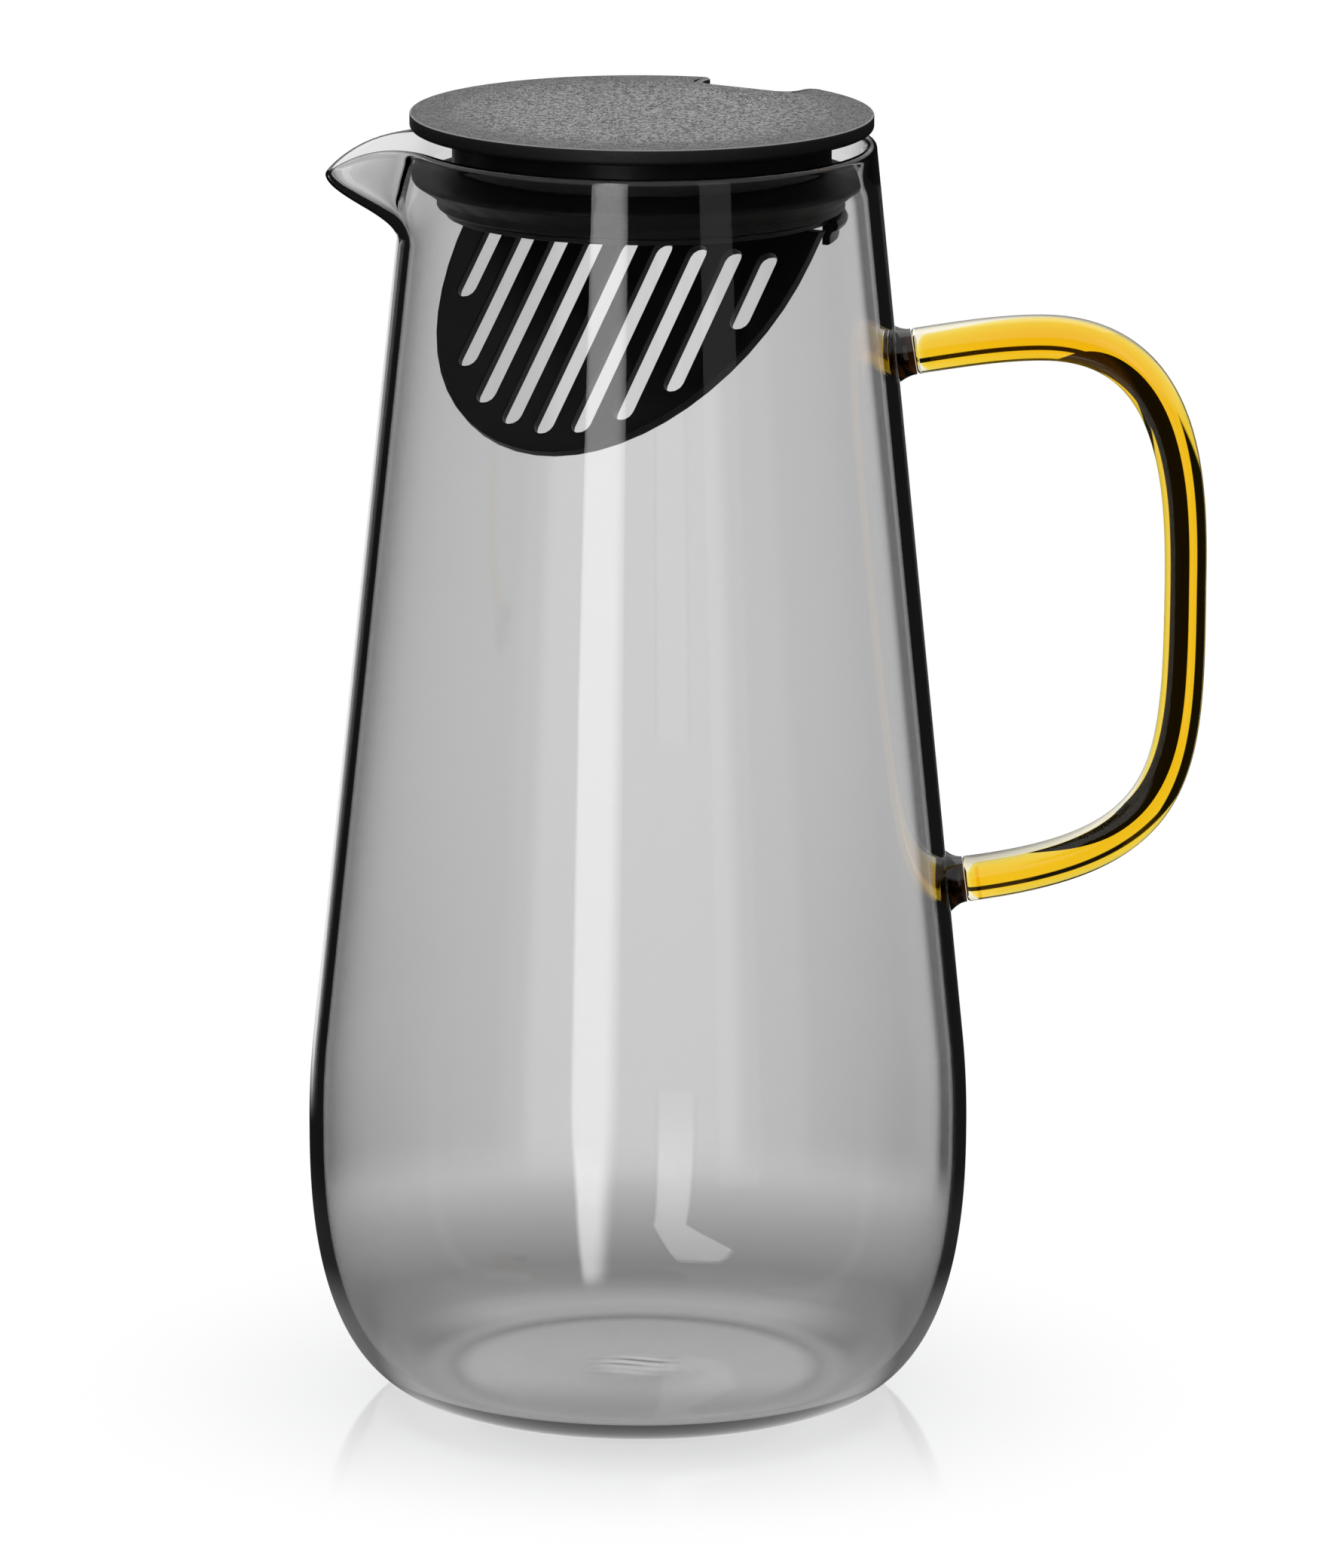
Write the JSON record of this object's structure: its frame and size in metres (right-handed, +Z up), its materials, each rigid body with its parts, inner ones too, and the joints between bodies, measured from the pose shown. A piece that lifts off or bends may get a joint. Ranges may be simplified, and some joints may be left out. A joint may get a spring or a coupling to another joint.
{
  "type": "glass jug",
  "caption": "Tapered smoke-glass jug with a pulled spout, a fused amber rod handle and a lift-off lid whose slanted strainer is set by turning it.",
  "frame": {"origin": "centre of the foot's flat underside, on the axis of the body", "axes": "+Z up along the body's axis, +X towards the handle, -X towards the spout"},
  "size_m": [0.1721, 0.1272, 0.25],
  "materials": {
    "smoke_glass": "clear blown glass with a light grey smoke tint, fire-polished",
    "amber_glass": "solid rod with an amber core in clear glass, fire-polished",
    "black_silicone": "smooth black silicone with a satin sheen",
    "black_plastic": "fine spark-eroded black moulding"
  },
  "bodies": {
    "jug": {"glass_body": "smoke_glass", "upper_handle_weld": "smoke_glass", "lower_handle_weld": "smoke_glass", "handle": "amber_glass"},
    "seal": {"seal_ring": "black_silicone"},
    "lid": {"lid_cap": "black_plastic", "lid_plug": "black_plastic", "strainer": "black_plastic"}
  },
  "joints": [
    {"name": "lid_lift", "type": "slide", "parent": "jug", "child": "seal", "axis": [0, 0, 1], "range_m": [0, 0.075]},
    {"name": "lid_turn", "type": "hinge", "parent": "seal", "child": "lid", "pos_m": [0, 0, 0.25], "axis": [0, 0, 1], "continuous": true}
  ]
}
